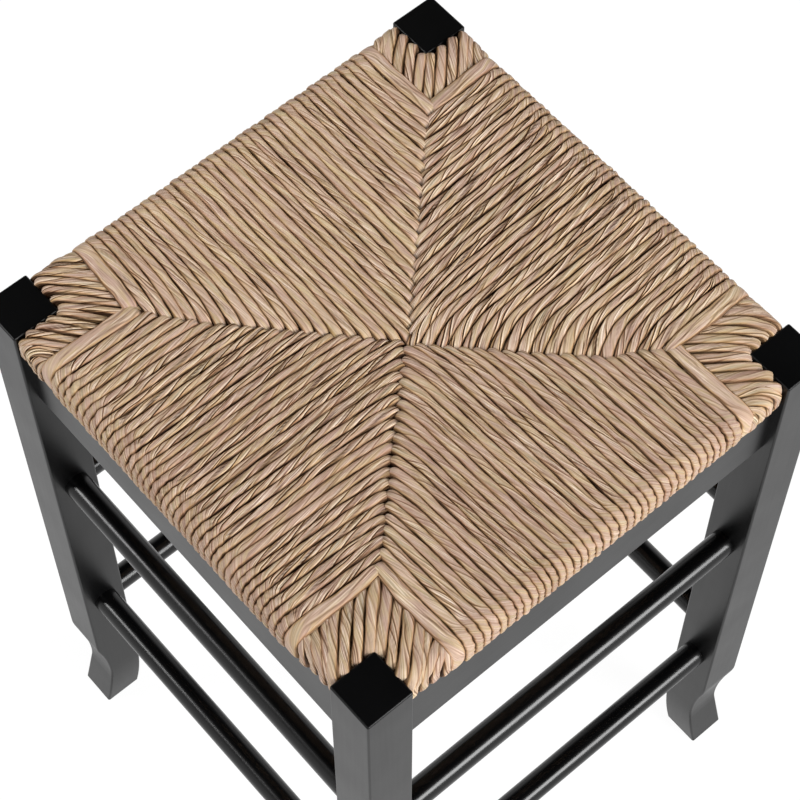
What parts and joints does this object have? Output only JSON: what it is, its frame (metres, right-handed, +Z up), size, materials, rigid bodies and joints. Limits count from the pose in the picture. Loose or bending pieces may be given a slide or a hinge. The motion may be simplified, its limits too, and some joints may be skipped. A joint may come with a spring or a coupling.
{
  "type": "woven bar stool",
  "caption": "Backless square stool: woven rush seat with mitred panels on a black painted wooden frame of square legs with shaped feet, aprons and round stretchers.",
  "frame": {"origin": "on the floor under the middle of the seat", "axes": "+Z up, -Y toward the front, +X to the right of someone facing the same way as the stool's back"},
  "size_m": [0.382, 0.382, 0.609],
  "materials": {
    "black_paint": "semi-gloss black paint on wood",
    "rush": "twisted natural rush cord, woven",
    "bare_wood": "unpainted hardwood, hidden in the rush",
    "stuffing": "loose rush waste packed between the woven layers"
  },
  "bodies": {
    "root": {"front_left_leg": "black_paint", "front_right_leg": "black_paint", "back_right_leg": "black_paint", "back_left_leg": "black_paint", "front_apron": "black_paint", "front_upper_stretcher": "black_paint", "front_lower_stretcher": "black_paint", "right_apron": "black_paint", "right_upper_stretcher": "black_paint", "right_lower_stretcher": "black_paint", "back_apron": "black_paint", "back_upper_stretcher": "black_paint", "back_lower_stretcher": "black_paint", "left_apron": "black_paint", "left_upper_stretcher": "black_paint", "left_lower_stretcher": "black_paint", "front_seat_rail": "bare_wood", "front_stuffing": "stuffing", "right_seat_rail": "bare_wood", "right_stuffing": "stuffing", "back_seat_rail": "bare_wood", "back_stuffing": "stuffing", "left_seat_rail": "bare_wood", "left_stuffing": "stuffing", "rush_seat": "rush"}
  },
  "joints": []
}
